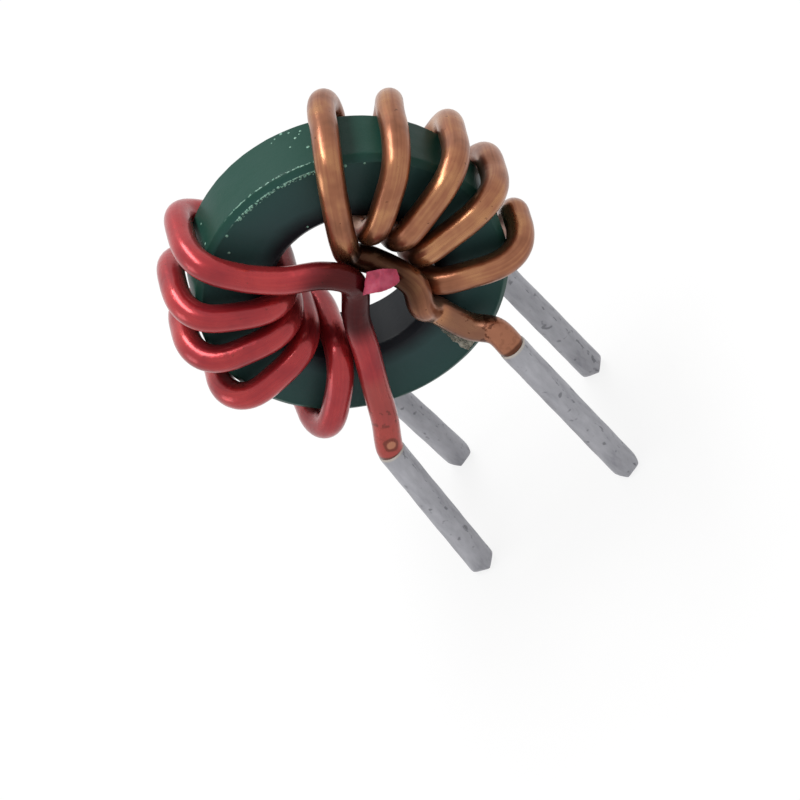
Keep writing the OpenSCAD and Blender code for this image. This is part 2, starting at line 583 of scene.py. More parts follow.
@dataclass(frozen=True)
class WireRoute:
    """The centre line of one winding, from its front lead to its back lead."""

    sizes: PartSizes
    plan: WindingPlan
    span_steps: int = 20
    turn_step: float = 10.0
    fine_step: float = 1.0
    spacing: float = 0.14

    def spot(self, place: Place) -> Vec:
        """Finds a lead place.

        Args:
            place: The place. On the face it is a share of the way from hole to
                rim, an angle and wires in front of a seated one. At the hole it
                is hole radii across and up, and the same wires. At the rim it
                is wires past the rim, an angle and seat depths behind.

        Returns:
            The place as a point about the core's centre.
        """
        s = self.sizes
        if place.zone is Zone.FACE:
            radius = s.hole_r + place.first * (s.core_r - s.hole_r)
            return polar(radius, place.second, -s.seat_y - place.third * s.wire_d)
        if place.zone is Zone.HOLE:
            depth = -s.seat_y - place.third * s.wire_d
            return np.array([place.first * s.hole_r, depth, place.second * s.hole_r])
        return polar(s.core_r + place.first * s.wire_d, place.second, place.third * s.seat_y)

    def on_turn(self, phase: float) -> Vec:
        """Finds a place on a turn.

        Args:
            phase: How far the wire has turned: 0 front, 90 rim, 180 back, 270
                hole, and 360 more for each further turn.

        Returns:
            The place as a point about the core's centre.
        """
        s = self.sizes
        turn = math.radians(phase - 90)
        exponent = 2 / s.squareness
        room = s.wire_r + s.loop_room
        reach = (s.core_r - s.mid_r if math.cos(turn) > 0 else s.mid_r - s.hole_r) + room
        return polar(
            s.mid_r + reach * power(math.cos(turn), exponent),
            along(self.plan.quarters(), phase / 90),
            (s.seat_y + s.bow) * power(math.sin(turn), exponent),
        )

    def axis(self, face: Face) -> Vec:
        """Finds the direction in which a lead runs down.

        Args:
            face: Which of the two leads.

        Returns:
            The direction at length one.
        """
        splay = self.plan.front_splay if face is Face.FRONT else self.plan.back_splay
        lean = math.radians(splay)
        return np.array([self.plan.side.value * math.sin(lean), 0.0, -math.cos(lean)])

    def lead_top(self, face: Face) -> Vec:
        """Finds where a lead's enamel ends.

        Args:
            face: Which of the two leads.

        Returns:
            The place about the core's centre. The leads keep their pitch
            half-way between it and the ground.
        """
        s, z = self.sizes, -self.plan.strip
        half = (s.centre_z + z) / 2
        x, y = self.plan.side.value * s.lead_pitch_x / 2, face.value * s.lead_pitch_y / 2
        axis = self.axis(face)
        return np.array([x, y, z - half]) - axis * half / -axis[2]

    def centre_line(self) -> Vec:
        """Runs the wire from its front lead through its turns to its back lead.

        Returns:
            Evenly spaced places about the core's centre.
        """
        down, up = self.axis(Face.FRONT), self.axis(Face.BACK)
        start, finish = self.lead_top(Face.FRONT), self.lead_top(Face.BACK)
        step, last = self.turn_step, 90.0 * (len(self.plan.quarters()) - 1)
        lead = [self.spot(p) for p in self.plan.lead]
        back = [self.spot(p) for p in self.plan.back]
        first = [start + down, start, *lead, self.on_turn(0.0), self.on_turn(step)]
        ending = [self.on_turn(last - step), self.on_turn(last), *back, finish, finish + up]
        phases = np.arange(step, last - step + 0.01, self.fine_step)
        turns = [self.on_turn(float(phase)) for phase in phases]
        whole = through(first, self.span_steps) + turns + through(ending, self.span_steps)
        return evenly(whole, self.spacing)


COPPER_PLAN = WindingPlan(
    side=Side.COPPER,
    strip=7.8,
    front_splay=0.0,
    back_splay=1.0,
    front=(65.0, 41.0, 21.0, 2.0, -26.0),
    outer=(62.0, 39.5, 17.0, -2.0, -22.0),
    inner=(46.0, 20.0, -5.5, -31.0),
    lead=(
        Place(Zone.FACE, 0.83, 305.0, 0.65),
        Place(Zone.FACE, 0.52, 301.5, 0.23),
        Place(Zone.FACE, -0.01, 306.0, 0.02),
        Place(Zone.HOLE, 0.56, -0.49, 0.64),
        Place(Zone.HOLE, 0.67, -0.14, 0.62),
        Place(Zone.HOLE, 0.42, 0.26, -0.22),
        Place(Zone.HOLE, 0.28, 0.5, -0.23),
        Place(Zone.HOLE, 0.35, 0.76, 0.08),
    ),
    back=(
        Place(Zone.RIM, 0.55, 329.0, 0.65),
        Place(Zone.RIM, 0.43, 320.0, 1.03),
        Place(Zone.RIM, -0.12, 309.0, 1.44),
    ),
)

RED_PLAN = WindingPlan(
    side=Side.RED,
    strip=9.1,
    front_splay=5.0,
    back_splay=-2.0,
    front=(123.0, 145.0, 166.0, 189.0, 224.0),
    outer=(125.0, 144.0, 163.0, 185.0, 220.5),
    inner=(138.0, 163.5, 189.0, 215.5),
    lead=(
        Place(Zone.FACE, 0.79, 244.0, 0.86),
        Place(Zone.FACE, 0.24, 243.0, 0.54),
        Place(Zone.HOLE, -0.34, -0.62, 0.36),
        Place(Zone.HOLE, -0.15, -0.16, 0.36),
        Place(Zone.HOLE, 0.11, 0.26, 0.54),
        Place(Zone.HOLE, 0.13, 0.5, 0.77),
        Place(Zone.HOLE, -0.06, 0.71, 0.68),
        Place(Zone.HOLE, -0.46, 0.92, 0.48),
    ),
    back=(
        Place(Zone.RIM, 0.53, 218.0, 0.93),
        Place(Zone.RIM, 0.2, 221.0, 1.45),
        Place(Zone.RIM, 0.32, 230.0, 1.62),
    ),
)


# ---------------------------------------------------------------- finishes


# Whether a surface is seen directly, in a mirror or through glass.
SEEN: Rows = [
    ("path", "ShaderNodeLightPath"),
    ("direct", MATH, ("@path.Is Camera Ray", "@path.Is Glossy Ray"), LARGER),
    ("seen", MATH, ("@direct", "@path.Is Transmission Ray"), LARGER),
]


def drawn(stretch: float) -> Rows:
    """Lays out a place on the wire as if it lay straight.

    Args:
        stretch: What the place is multiplied by along the wire. Below one it
            draws a pattern out into lines.

    Returns:
        The nodes. The first gives the whole place, the last the drawn one.
    """
    return [
        ("straight", NOTE, (), {"attribute_name": "straight_place"}),
        ("drawn", "ShaderNodeMapping", {"Vector": "@straight.Vector", "Scale": (1, 1, stretch)}),
    ]


@dataclass(frozen=True)
class Finish:
    """What every finish shares: a name, and a table of its shader's nodes."""

    name: str

    def rows(self) -> Rows:
        """Returns the finish's own nodes. The last one is its shader."""
        raise NotImplementedError

    def build(self) -> bpy.types.Material:
        """Builds the material from its rows.

        Returns:
            The material. "@place" is the place on the piece in millimetres.
        """
        material = bpy.data.materials.new(self.name)
        material.use_nodes = True
        rows = [
            ("coords", "ShaderNodeTexCoord"),
            ("place", VECTOR, ("@coords.Object", 1 / MM), SCALED),
            *self.rows(),
        ]
        rows.append(("result", "ShaderNodeOutputMaterial", {"Surface": f"@{rows[-1][0]}"}))
        grow(material.node_tree, rows)
        return material


@dataclass(frozen=True)
class EpoxyCoat(Finish):
    """Epoxy powder coat, sprayed and baked on a pressed ring.

    To the eye it is a dark bottle-green skin, greener on the rim and bluish
    black by the hole, where the black is painted shade, with an orange-peel
    wave about a millimetre long, and fine pale painted glints on its front
    edge where the lamp's highlight falls.
    """

    name: str = "epoxy_powder_coat"
    # The coat's tones from the hole out to the rim; dark, by the hole, is painted shade.
    dark: str = "#181C21"
    shade: str = "#334D4D"
    base: str = "#2E4D4A"
    tint: str = "#1E4339"
    # The pale colour of the painted glints on the front edge.
    glint_pale: str = "#8FB3A3"
    roughness: float = 0.42
    specular: float = 0.1
    clear: float = 0.05
    cloud_mm: float = 3.2
    peel_mm: float = 0.9
    peel_height: float = 0.02
    # Real grit is finer: it is as coarse here as it needs to show.
    grit_mm: float = 0.16
    grit_height: float = 0.006
    # How long the broken pieces of the painted glints are.
    glint_break_mm: float = 0.24

    def rows(self) -> Rows:
        """Lays out the coat: clouds, painted glints, peel and grit.

        Returns:
            The nodes. The piece's attribute tone says how far a place lies
            from the hole, and a second attribute how much pale painted glint
            shows there.
        """
        # The dark stop, reached near the hole, is painted shade of the hole.
        tones = ((0.18, self.dark), (0.45, self.shade), (0.65, self.base), (1.0, self.tint))
        rough = (self.roughness - 0.05, self.roughness + 0.07)
        return [
            ("cloud", NOISE, ("@place", 1 / self.cloud_mm, 4.0)),
            ("tone", NOTE, (), {"attribute_name": "tone"}),
            ("mixed", MATH, ("@cloud", 0.3, "@tone.Fac"), TIMES_PLUS),
            ("body", RAMP, ("@mixed",), {"stops": tones}),
            # Painted glints: the pale colour, broken by noise, where the piece asks for glint.
            ("wear", NOTE, (), {"attribute_name": "wear"}),
            ("broken", NOISE, ("@place", 1 / self.glint_break_mm, 2.0, 0.6)),
            ("bare", RANGE, ("@broken", 0.42, 0.56, 0.0, 0.95), SMOOTH),
            ("worn", MATH, ("@wear.Fac", "@bare"), TIMES),
            ("colour", MIX, ("@worn", "@body", self.glint_pale), COLOURS),
            ("rough", RANGE, ("@cloud", 0.3, 0.7, *rough)),
            ("peel", NOISE, ("@place", 1 / self.peel_mm, 2.0)),
            ("waves", BUMP, {"Height": "@peel", "Distance": self.peel_height * MM}),
            ("grit", NOISE, ("@place", 1 / self.grit_mm, 2.0)),
            (
                "grain",
                BUMP,
                {"Height": "@grit", "Distance": self.grit_height * MM, "Normal": "@waves"},
            ),
            (
                "shader",
                SKIN,
                {
                    "Base Color": "@colour",
                    "Roughness": "@rough",
                    "IOR": 1.5,
                    "Specular IOR Level": self.specular,
                    "Coat Weight": self.clear,
                    "Coat Roughness": 0.2,
                    "Normal": "@grain",
                },
            ),
        ]


@dataclass(frozen=True)
class BurnRing:
    """A round heat mark on a wire; its centre is in the part's frame, in mm."""

    centre: Triple
    radius: float = 0.39
    width: float = 0.2
    ragged_mm: float = 0.5
    edge: str = "#702F20"
    middle: str = "#C08062"

    def rows(self, under: str) -> Rows:
        """Lays out the mark.

        Args:
            under: The name of the node whose colour the mark covers.

        Returns:
            The nodes. The last one gives the colour with the mark on it.
        """
        inner = (self.radius - self.width, self.radius - 0.45 * self.width)
        outer = (self.radius, self.radius + 0.6 * self.width)
        return [
            ("ragged", NOISE, ("@place", 1 / self.ragged_mm, 2.0)),
            ("shifted", VECTOR, ("@ragged.Color", (0.2, 0.2, 0.2), "@place"), TIMES_PLUS),
            ("far", VECTOR, ("@shifted", self.centre), APART),
            ("outside", RANGE, ("@far", *outer, 0.9, 0.0), SMOOTH),
            ("band", MIX, ("@outside", f"@{under}", self.edge), COLOURS),
            ("inside", RANGE, ("@far", *inner, 0.75, 0.0), SMOOTH),
            ("ringed", MIX, ("@inside", "@band", self.middle), COLOURS),
        ]


@dataclass(frozen=True)
class WireEnamel(Finish):
    """Clear polyester enamel on drawn copper wire, the finish of one winding.

    To the eye the metal glows through a satin skin: a broad warm highlight,
    faint lines along it from drawing, brown scorching by the end that was
    dipped in solder, and a painted shade round the core's axis, where the
    wires cross in the hole's shadow.
    """

    name: str = "clear_wire_enamel"
    base: str = "#976248"
    deep: str = "#80513A"
    glow: str = "#B8855C"
    scorch: str = "#4A2415"
    end_line: str = "#4A2618"
    end_tone: str = "#A26A50"
    metallic: float = 0.85
    roughness: float = 0.3
    specular: float = 0.2
    clear: float = 0.15
    clear_roughness: float = 0.2
    draw_stretch: float = 0.06
    # Real drawing lines are finer: they are as coarse here as they need to show.
    draw_mm: float = 0.2
    draw_height: float = 0.006
    blotch_mm: float = 2.4
    dent_height: float = 0.05
    speck_mm: float = 0.3
    tick_height: float = 0.006
    dull: str = "#7A5442"
    dull_share: float = 0.8
    dull_from: float = 4.0
    dull_fade: float = 1.2
    crust_width: float = 0.28
    smooth_end: float = 1.7
    scorch_reach: float = 4.8
    scorch_amount: float = 0.75
    ring: BurnRing | None = None
    # Painted shade round the core's axis: its centre, the distances over which it fades, and how dark
    # it is inside.
    hole_shade_centre: Triple = (1.2, 0.0, 20.8)
    hole_shade_reach: tuple[float, float] = (1.8, 3.7)
    hole_shade_share: float = 0.18

    def rows(self) -> Rows:
        """Joins the wire's tone, its heated end, its painted shade and its relief.

        Returns:
            The nodes. Lines, blotches and specks are the three patterns that
            the rest reads, and gap is the distance from the enamel's end.
        """
        tones = ((0.5, self.deep), (0.7, self.base), (1.0, self.glow))
        rough = (self.roughness + 0.06, self.roughness - 0.05)
        marked = self.heated_end()
        if self.ring:
            marked += self.ring.rows(under=marked[-1][0])
        return [
            *drawn(self.draw_stretch),
            ("lines", NOISE, ("@drawn", 1 / self.draw_mm, 3.0)),
            ("blotch", NOISE, ("@place", 1 / self.blotch_mm, 3.0, 0.55)),
            ("specks", NOISE, ("@place", 1 / self.speck_mm, 2.0)),
            ("gap", NOTE, (), {"attribute_name": "strip_gap"}),
            ("tone", MATH, ("@lines", 0.45, "@blotch"), TIMES_PLUS),
            ("body", RAMP, ("@tone",), {"stops": tones}),
            *marked,
            # Painted shade: colour and coat gloss darken towards the core's axis, where the wires in
            # the hole lie in shadow.
            ("level", VECTOR, ("@place", (1.0, 0.0, 1.0)), TIMES),
            ("inward", VECTOR, ("@level", self.hole_shade_centre), APART),
            ("soot", RANGE, ("@inward", *self.hole_shade_reach, self.hole_shade_share, 1.0), SMOOTH),
            ("shaded", VECTOR, (f"@{marked[-1][0]}", "@soot"), SCALED),
            ("rough", RANGE, ("@tone", 0.5, 0.95, *rough)),
            ("gloss", MATH, ("@soot", self.clear), TIMES),
            ("relief", BUMP, {"Height": "@lines", "Distance": self.draw_height * MM}),
            (
                "dents",
                BUMP,
                {"Height": "@blotch", "Distance": self.dent_height * MM, "Normal": "@relief"},
            ),
            (
                "ticks",
                BUMP,
                {"Height": "@specks", "Distance": self.tick_height * MM, "Normal": "@dents"},
            ),
            (
                "shader",
                SKIN,
                {
                    "Base Color": "@shaded",
                    "Metallic": self.metallic,
                    "Roughness": "@rough",
                    "Specular IOR Level": self.specular,
                    "Coat Weight": "@gloss",
                    "Coat Roughness": self.clear_roughness,
                    "Coat IOR": 1.5,
                    "Normal": "@ticks",
                },
            ),
        ]

    def heated_end(self) -> Rows:
        """Lays out what the solder bath did to the enamel.

        Returns:
            The nodes, from the bare end up: a dark line, a smooth stretch with
            a scorched crust past it, then dulled enamel with scorched specks.
            The last one gives the colour.
        """
        end, dull = self.smooth_end, (self.dull_from, self.dull_from + self.dull_fade)
        return [
            ("near", RANGE, ("@gap.Fac", 0.2, self.scorch_reach, 1.0, 0.0), SMOOTH),
            ("raised", MATH, ("@near", 0.16, "@specks"), TIMES_PLUS),
            ("spots", RANGE, ("@raised", 0.69, 0.76, 0.0, self.scorch_amount), SMOOTH),
            ("beyond", MATH, ("@blotch", -1.2, "@gap.Fac"), TIMES_PLUS),
            ("uneven", RANGE, ("@beyond", end - 0.75, end - 0.55, 0.25, 1.0), SMOOTH),
            ("scattered", MATH, ("@spots", "@uneven"), TIMES),
            ("heated", RANGE, ("@gap.Fac", *dull, self.dull_share, 0.0), SMOOTH),
            ("dulled", MIX, ("@heated", "@body", self.dull), COLOURS),
            ("ended", MIX, ("@uneven", self.end_tone, "@dulled"), COLOURS),
            ("at_line", MATH, ("@beyond", end - 0.6, self.crust_width), {"operation": "COMPARE"}),
            ("patches", RANGE, ("@specks", 0.47, 0.53, 0.0, self.scorch_amount), SMOOTH),
            ("crust", MATH, ("@at_line", "@patches"), TIMES),
            ("burnt", MATH, ("@scattered", "@crust"), LARGER),
            ("marked", MIX, ("@burnt", "@ended", self.scorch), COLOURS),
            ("wobble", MATH, ("@blotch", -0.2, "@gap.Fac"), TIMES_PLUS),
            ("rim", RANGE, ("@wobble", -0.06, 0.02, 0.85, 0.0), SMOOTH),
            ("lined", MIX, ("@rim", "@marked", self.end_line), COLOURS),
        ]


# Polyester enamel dyed red, which hides most of the copper's glow.
RED_ENAMEL = WireEnamel(
    name="red_wire_enamel",
    base="#A12C31",
    deep="#8E242C",
    glow="#B83A3A",
    scorch="#5A2418",
    end_line="#5A2A1A",
    end_tone="#A6423A",
    metallic=0.5,
    roughness=0.28,
    clear=0.4,
    clear_roughness=0.16,
    tick_height=0.014,
    dull="#9E4A42",
    dull_share=0.6,
    dull_from=4.4,
    crust_width=0.1,
    smooth_end=2.0,
    scorch_reach=5.0,
    scorch_amount=0.6,
    # Painted shade in the hole, centred where the red wires cross it.
    hole_shade_centre=(0.3, 0.0, 21.4),
    hole_shade_reach=(2.2, 4.1),
    ring=BurnRing(centre=(-3.96, -5.32, 12.06)),
)


@dataclass(frozen=True)
class SolderCoat(Finish):
    """Hot-dipped tin solder, left as it froze.

    To the eye it is a dull light grey metal, nearly matt, with drag marks
    along the lead, small dark pits, a ragged grey streak of pits down one
    side, and a cream line of flux at its top.
    """

    name: str = "dipped_solder"
    base: str = "#A6A6AC"
    pale: str = "#B6B6BC"
    drag: str = "#93939A"
    pit: str = "#56565C"
    flux: str = "#CFC3B2"
    drag_stretch: float = 0.28
    drag_mm: float = 0.5
    drag_height: float = 0.05
    pit_mm: float = 0.42
    streak_at: float = 1.57
    streak_wide: float = 0.13
    # Real frost is finer: it is as coarse here as it needs to show.
    frost_mm: float = 0.09
    frost_height: float = 0.006

    def rows(self) -> Rows:
        """Lays out the solder: drags, pits, the streak, the flux line, frost.

        Returns:
            The nodes. run is the place on the lead laid straight, from its
            top, and turn the angle round it in radians.
        """
        tones = ((0.3, self.drag), (0.44, self.base), (0.7, self.pale))
        return [
            *drawn(self.drag_stretch),
            ("drags", NOISE, ("@drawn", 1 / self.drag_mm, 5.0, 0.6)),
            ("body", RAMP, ("@drags",), {"stops": tones}),
            ("pits", NOISE, ("@place", 1 / self.pit_mm, 1.0, 0.4)),
            ("run", SPLIT, ("@straight.Vector",)),
            ("turn", MATH, ("@run.Y", "@run.X"), {"operation": "ARCTAN2"}),
            ("waving", MATH, ("@drags", 1.6, "@turn"), TIMES_PLUS),
            ("offset", MATH, ("@waving", self.streak_at), {"operation": "SUBTRACT"}),
            ("aside", MATH, ("@offset",), {"operation": "ABSOLUTE"}),
            ("streak", RANGE, ("@aside", 0.0, self.streak_wide, 0.16, 0.0), SMOOTH),
            ("raised", MATH, ("@pits", "@streak"), {"operation": "ADD"}),
            ("hole", RANGE, ("@raised", 0.66, 0.78, 0.0, 0.6), SMOOTH),
            ("pitted", MIX, ("@hole", "@body", self.pit), COLOURS),
            ("top", RANGE, ("@run.Z", 0.04, 0.2, 0.6, 0.0), SMOOTH),
            ("colour", MIX, ("@top", "@pitted", self.flux), COLOURS),
            ("frost", NOISE, ("@place", 1 / self.frost_mm, 2.0)),
            ("rough", RANGE, ("@frost", 0.3, 0.7, 0.44, 0.6)),
            (
                "lumps",
                BUMP,
                {"Height": "@drags", "Distance": self.drag_height * MM, "Strength": 0.7},
            ),
            (
                "grain",
                BUMP,
                {"Height": "@frost", "Distance": self.frost_height * MM, "Normal": "@lumps"},
            ),
            (
                "shader",
                SKIN,
                {
                    "Base Color": "@colour",
                    "Metallic": 0.25,
                    "Roughness": "@rough",
                    "Specular IOR Level": 0.35,
                    "Normal": "@grain",
                },
            ),
        ]


@dataclass(frozen=True)
class CuredAdhesive(Finish):
    """Red fixing adhesive, brushed on and cured.

    To the eye it is a matt raspberry lump, torn and slightly grainy, with
    cloudy paler and darker patches.
    """

    name: str = "cured_adhesive"
    base: str = "#AE3A55"
    pale: str = "#BC5068"
    dark: str = "#952B46"
    lump_mm: float = 0.7
    grain_mm: float = 0.12
    grain_height: float = 0.02
    glow_mm: float = 0.3

    def rows(self) -> Rows:
        """Lays out the adhesive.

        Returns:
            The nodes: cloudy lumps of colour and a fine grain.
        """
        tones = ((0.36, self.dark), (0.5, self.base), (0.68, self.pale))
        relief = {"Height": "@grain", "Distance": self.grain_height * MM, "Strength": 0.8}
        return [
            ("lumps", NOISE, ("@place", 1 / self.lump_mm, 4.0)),
            ("body", RAMP, ("@lumps",), {"stops": tones}),
            ("grain", NOISE, ("@place", 1 / self.grain_mm, 2.0)),
            ("relief", BUMP, relief),
            (
                "shader",
                SKIN,
                {
                    "Base Color": "@body",
                    "Roughness": 0.72,
                    "Subsurface Weight": 0.15,
                    "Subsurface Scale": self.glow_mm * MM,
                    "Normal": "@relief",
                },
            ),
        ]


@dataclass(frozen=True)
class FluxVarnish(Finish):
    """Rosin flux that ran off the solder bath and set like varnish.

    To the eye it is a thin, see-through, yellowish-brown film with a wet gloss
    and a few whitish crazes.
    """

    name: str = "set_rosin_flux"
    base: str = "#857B66"
    craze: str = "#CFCBBC"
    craze_mm: float = 0.8
    craze_height: float = 0.04

    def rows(self) -> Rows:
        """Lays out the varnish.

        Returns:
            The nodes: crazes, which are paler, denser and raised.
        """
        tones = ((0.5, self.base), (0.74, self.craze))
        relief = {"Height": "@cracks", "Distance": self.craze_height * MM, "Strength": 0.4}
        return [
            ("cracks", NOISE, ("@place", 1 / self.craze_mm, 4.0, 0.7)),
            ("tint", RAMP, ("@cracks",), {"stops": tones}),
            ("clear", RANGE, ("@cracks", 0.36, 0.66, 0.3, 0.8)),
            ("relief", BUMP, relief),
            (
                "shader",
                SKIN,
                {
                    "Base Color": "@tint",
                    "Roughness": 0.18,
                    "IOR": 1.52,
                    "Alpha": "@clear",
                    "Normal": "@relief",
                },
            ),
        ]


@dataclass(frozen=True)
class PaleTable(Finish):
    """Plain white paper under the part, which keeps a soft shadow."""

    name: str = "white_paper"
    paper: str = "#F4F4F4"
    shade: str = "#F2F2F2"
    fibre_mm: float = 5.0
    own_light: float = 0.86

    def rows(self) -> Rows:
        """Returns the nodes: faint fibres, and white of its own where seen."""
        return [
            ("fibre", NOISE, ("@place", 1 / self.fibre_mm, 5.0)),
            ("tint", RAMP, ("@fibre",), {"stops": ((0.3, self.shade), (0.7, self.paper))}),
            ("sheet", "ShaderNodeBsdfDiffuse", ("@tint",)),
            ("white", "ShaderNodeEmission", {"Color": "#FFFFFF", "Strength": 1.0}),
            *SEEN,
            ("share", MATH, ("@seen", self.own_light), TIMES),
            ("shader", "ShaderNodeMixShader", ("@share", "@sheet", "@white")),
        ]


# ---------------------------------------------------------------- the pieces


@dataclass(kw_only=True)
class Piece:
    """What every piece shares: its name, its slot and the node it stands for."""

    name: str
    slot: str
    node: str | None = None

    def build(self) -> bpy.types.Object:
        """Builds the piece with its finish."""
        raise NotImplementedError

    def dress(self) -> bpy.types.Object:
        """Builds the piece and puts it on the frame.

        Returns:
            The finished piece.
        """
        made = self.build()
        if self.node:
            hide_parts(self.node)
        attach(made, ROOT)
        return made


@dataclass(kw_only=True)
class RingCore(Piece):
    """The coated ring: a pressed ring whose four edges are chamfered."""

    name: str = "ring_core"
    slot: str = "core_coat"
    node: str | None = "core"
    sizes: PartSizes
    finish: EpoxyCoat = EpoxyCoat()
    corner_r: float = 0.13
    corner_steps: int = 5
    pitch: float = 0.17
    wave_mm: float = 1.1
    wave_height: float = 0.009
    wave_sink: float = 0.4
    lump_mm: float = 0.42
    lump_height: float = 0.014
    lump_sink: float = 0.2
    # Where round the axis the front edge's painted glints fade in and out, and how much of them shows
    # elsewhere.
    glint_from: tuple[float, float] = (60.0, 70.0)
    glint_to: tuple[float, float] = (100.0, 110.0)
    glint_least: float = 0.04
    # The coat's tone at each distance from the axis; the low tones by the hole give its painted
    # shade.
    tone_at: tuple[float, ...] = (4.76, 5.4, 6.5, 8.4, 8.9)
    tone: tuple[float, ...] = (-0.15, 0.05, 0.36, 0.5, 0.85)

    def profile(self) -> tuple[Vec, Vec]:
        """Works out the ring's section.

        Returns:
            Points as radius and depth, and how much of an edge each one is.
        """
        s, half = self.sizes, self.sizes.core_h / 2
        inner, outer, deep = s.hole_r + s.chamfer, s.core_r - s.chamfer, half - s.chamfer
        corners = np.array(
            [(inner, -half), (outer, -half), (s.core_r, -deep), (s.core_r, deep)]
            + [(outer, half), (inner, half), (s.hole_r, deep), (s.hole_r, -deep)]
        )
        outline: list[Vec] = []
        edges: list[float] = []
        for here, last, following in zip(
            corners, np.roll(corners, 1, axis=0), np.roll(corners, -1, axis=0)
        ):
            before, after = unit(last - here), unit(following - here)
            half_turn = math.acos(float(np.clip(before @ after, -1, 1))) / 2
            back_off = self.corner_r / math.tan(half_turn)
            middle = here + unit(before + after) * self.corner_r / math.sin(half_turn)
            first, final = (here + way * back_off - middle for way in (before, after))
            for share in np.arange(self.corner_steps + 1) / self.corner_steps:
                outline.append(middle + unit(first * (1 - share) + final * share) * self.corner_r)
                edges.append(math.sin(math.pi * share) ** 2)
            start, stop = here + after * back_off, following - after * back_off
            pieces = max(2, int(np.linalg.norm(stop - start) / self.pitch))
            outline += [start + (stop - start) * k / pieces for k in range(1, pieces)]
            edges += [0.0] * (pieces - 1)
        return np.array(outline), np.array(edges)

    def turned(self, section: Vec, around: int) -> Vec:
        """Returns a section's points, or directions, at each step round the axis."""
        turns = [2 * math.pi * i / around for i in range(around)]
        return np.array([(r * math.cos(t), y, r * math.sin(t)) for t in turns for r, y in section])

    def build(self) -> bpy.types.Object:
        """Turns the section round the axis and adds the coat's waves.

        Returns:
            The core, which keeps its tone and its painted glints for its finish.
        """
        outline, edges = self.profile()
        around = int(2 * math.pi * self.sizes.core_r / self.pitch)
        flat = self.turned(outline, around)
        ahead = np.roll(outline, -1, axis=0) - np.roll(outline, 1, axis=0)
        out = np.stack([ahead[:, 1], -ahead[:, 0]], axis=1)
        normals = self.turned(out / np.linalg.norm(out, axis=1)[:, None], around)
        waves = np.array([rumple(p, self.wave_mm) for p in flat]) - self.wave_sink
        lumps = np.array([rumple(p, self.lump_mm, (9.0, 3.0, 5.0)) for p in flat]) - self.lump_sink
        sharp = np.tile(edges, around)
        offset = self.wave_height * waves + self.lump_height * sharp * lumps
        made = place_mesh(
            self.name,
            self.sizes.lift(flat + normals * offset[:, None]),
            skin(around, len(outline), ring_loop=True),
            self.finish.build(),
        )
        radius = np.hypot(flat[:, 0], flat[:, 2])
        angle = np.degrees(np.arctan2(flat[:, 2], flat[:, 0]))
        # Painted glints on the front edge's corners, strongest at the angles where the lamp's
        # highlight falls.
        lit = smooth_step(angle, *self.glint_from) * (1 - smooth_step(angle, *self.glint_to))
        front = (flat[:, 1] < 0) & (radius > self.sizes.mid_r)
        glint = self.glint_least + (1 - self.glint_least) * lit
        store(made.data, "wear", sharp * np.where(front, glint, 0.0))
        store(made.data, "tone", np.interp(radius, self.tone_at, self.tone))
        return made


